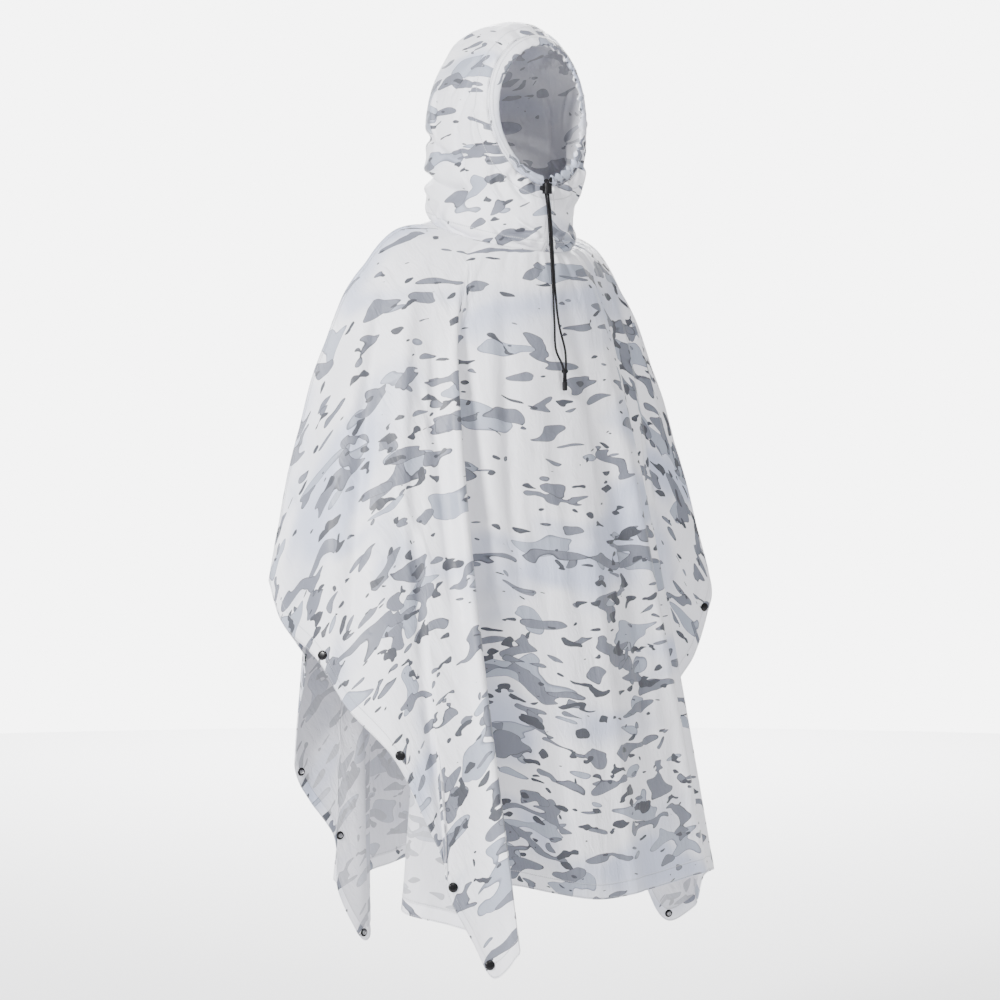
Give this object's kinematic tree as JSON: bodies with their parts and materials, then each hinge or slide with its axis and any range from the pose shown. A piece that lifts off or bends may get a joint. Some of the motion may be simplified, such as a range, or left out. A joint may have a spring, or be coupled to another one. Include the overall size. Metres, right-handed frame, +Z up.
{
  "type": "hooded poncho",
  "caption": "Rectangular hooded poncho in snow blotch camouflage, worn and empty, with a hood drawcord and press studs down its open sides.",
  "frame": {"origin": "middle of the neck at the height of the shoulders, where the wearer carries it", "axes": "+Z up, the garment faces -Y, +X is the wearer's left"},
  "size_m": [0.8808, 0.5932, 1.4577],
  "materials": {
    "printed_cloth": "light woven polyester with a coating, white ground with grey and pale blue blotches, faint sheen",
    "stud_metal": "black enamel, glossy",
    "cord": "braided, matte",
    "black_plastic": "satin"
  },
  "bodies": {
    "root": {"back_panel": "printed_cloth", "cord_end": "black_plastic", "cord_knot": "cord", "cord_left": "cord", "cord_lock": "black_plastic", "cord_lock_button": "black_plastic", "cord_right": "cord", "cord_tail": "cord", "front_panel": "printed_cloth", "hood_channel": "printed_cloth", "hood_left": "printed_cloth", "hood_right": "printed_cloth", "snap_back_left_1_back": "stud_metal", "snap_back_left_1_cap": "stud_metal", "snap_back_left_2_back": "stud_metal", "snap_back_left_2_cap": "stud_metal", "snap_back_left_3_back": "stud_metal", "snap_back_left_3_cap": "stud_metal", "snap_back_left_4_back": "stud_metal", "snap_back_left_4_cap": "stud_metal", "snap_back_right_1_back": "stud_metal", "snap_back_right_1_cap": "stud_metal", "snap_back_right_2_back": "stud_metal", "snap_back_right_2_cap": "stud_metal", "snap_back_right_3_back": "stud_metal", "snap_back_right_3_cap": "stud_metal", "snap_back_right_4_back": "stud_metal", "snap_back_right_4_cap": "stud_metal", "snap_front_left_1_back": "stud_metal", "snap_front_left_1_cap": "stud_metal", "snap_front_left_2_back": "stud_metal", "snap_front_left_2_cap": "stud_metal", "snap_front_left_3_back": "stud_metal", "snap_front_left_3_cap": "stud_metal", "snap_front_left_4_back": "stud_metal", "snap_front_left_4_cap": "stud_metal", "snap_front_right_1_back": "stud_metal", "snap_front_right_1_cap": "stud_metal", "snap_front_right_2_back": "stud_metal", "snap_front_right_2_cap": "stud_metal", "snap_front_right_3_back": "stud_metal", "snap_front_right_3_cap": "stud_metal", "snap_front_right_4_back": "stud_metal", "snap_front_right_4_cap": "stud_metal"}
  },
  "joints": []
}
